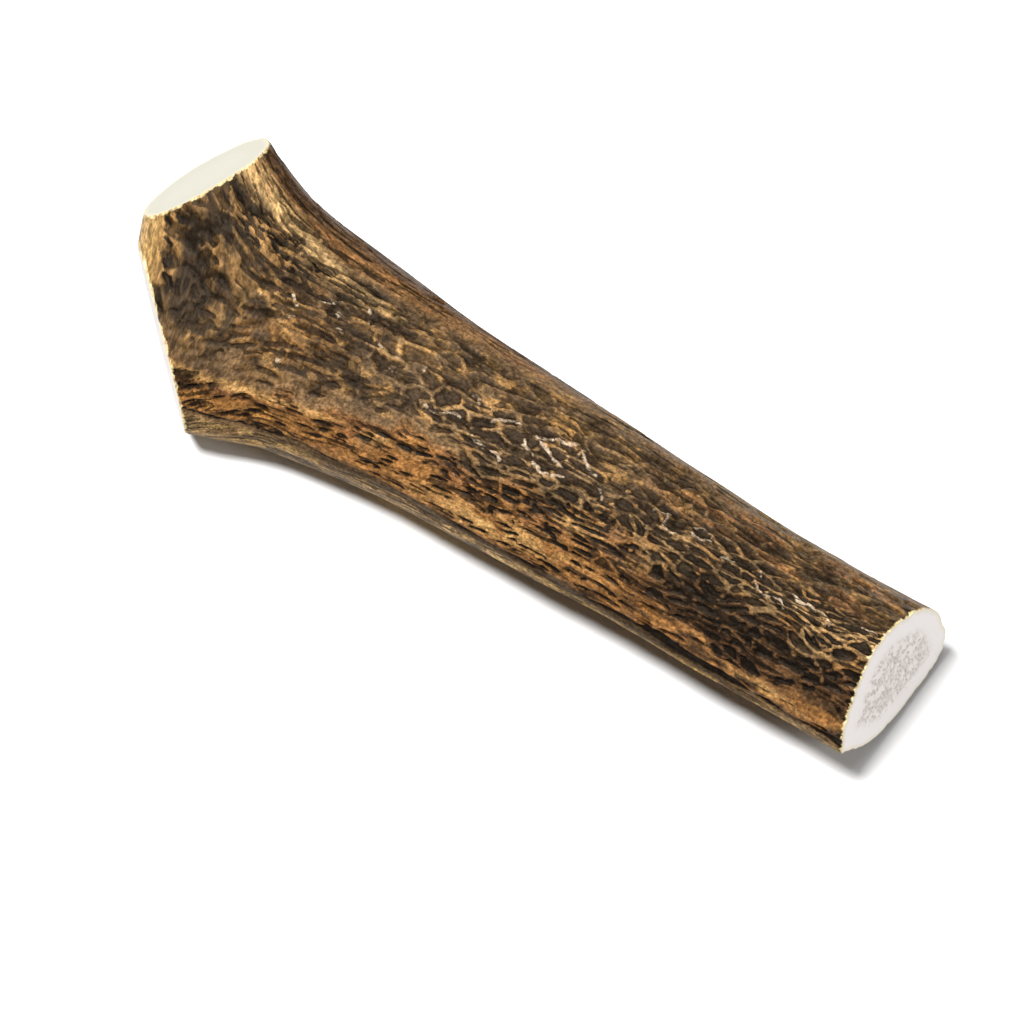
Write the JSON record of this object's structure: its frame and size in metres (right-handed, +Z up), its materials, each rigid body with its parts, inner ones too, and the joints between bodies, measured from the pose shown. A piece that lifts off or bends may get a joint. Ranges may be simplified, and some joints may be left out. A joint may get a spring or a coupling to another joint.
{
  "type": "deer antler piece",
  "caption": "Short forked length of deer antler, lying on its side, with rough ridged brown bark and flat pale sawn faces on the beam and on both arms.",
  "frame": {"origin": "on the surface that the piece lies on, under the middle of its bounding box", "axes": "+X along the beam towards its single sawn end, +Y towards the raised arm's side, +Z up"},
  "size_m": [0.1728, 0.0536, 0.0361],
  "materials": {
    "antler_bark": "rough ridged antler bark with a low natural gloss, ivory bone on the sawn faces"
  },
  "bodies": {
    "root": {"antler": "antler_bark"}
  },
  "joints": []
}
